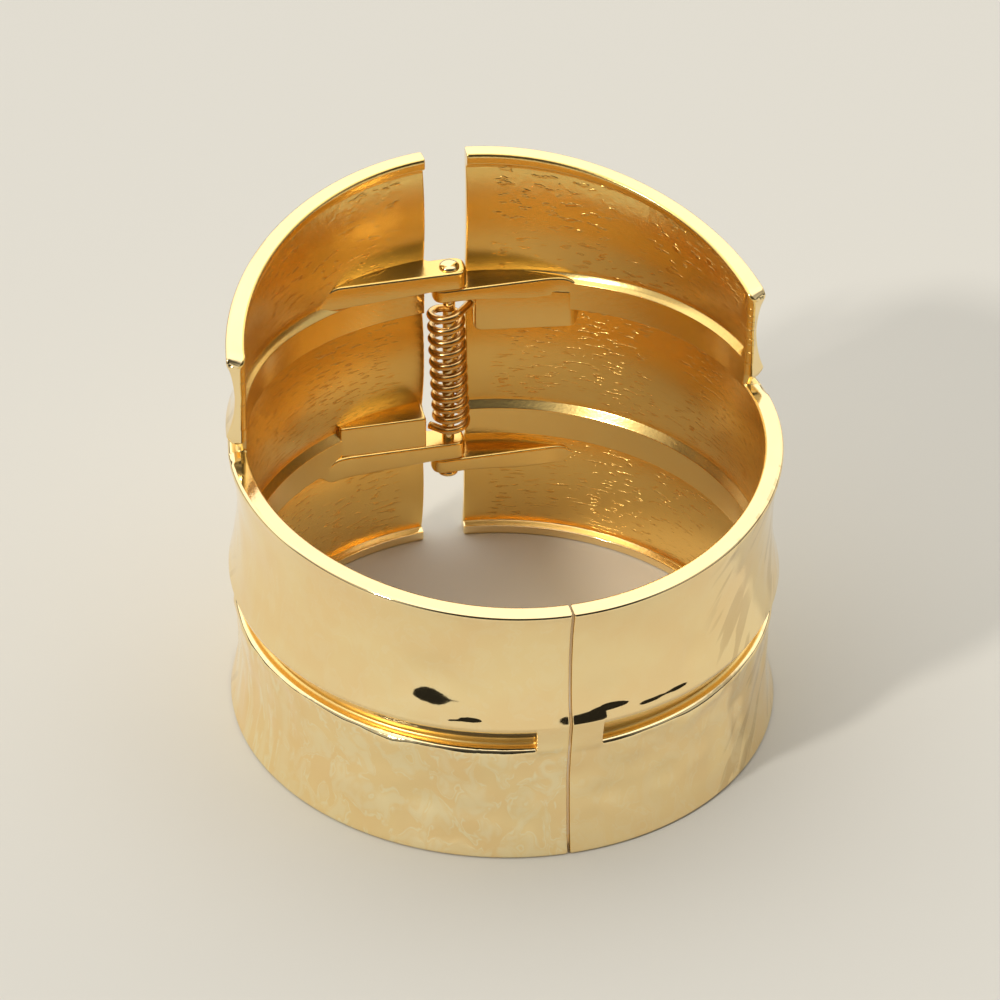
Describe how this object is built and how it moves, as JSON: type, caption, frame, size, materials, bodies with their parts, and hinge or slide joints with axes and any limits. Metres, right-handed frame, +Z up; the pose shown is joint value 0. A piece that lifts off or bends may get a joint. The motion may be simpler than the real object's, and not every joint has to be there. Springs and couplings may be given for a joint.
{
  "type": "hinged bangle",
  "caption": "Wide gold-plated cuff bangle of two cast half rings on a sprung hinge, with waisted hammered bands, inset grooves and a back that rises to the hinge.",
  "frame": {"origin": "middle of the ring at the height of the lower rim, on which the bangle stands", "axes": "+Z up along the ring's axis, +Y to the back where the hinge is, -Y to the front seam, +X to the half that opens"},
  "size_m": [0.0634, 0.0643, 0.0544],
  "materials": {
    "gold_cast": "bright gold plate, hammered outside, finely brushed inside",
    "gold_pin": "bright gold plate",
    "gold_wire": "dull gold plate"
  },
  "bodies": {
    "left": {"left_half": "gold_cast", "hinge_pin": "gold_pin", "torsion_spring": "gold_wire"},
    "right": {"right_half": "gold_cast"}
  },
  "joints": [
    {"name": "hinge", "type": "hinge", "parent": "left", "child": "right", "pos_m": [0, 0.028, 0.0257], "axis": [0, 0, 1], "range_deg": [0, 55], "stiffness_Nm_per_rad": 0.0553, "springref_deg": -40.11, "deforming": ["torsion_spring"]}
  ]
}
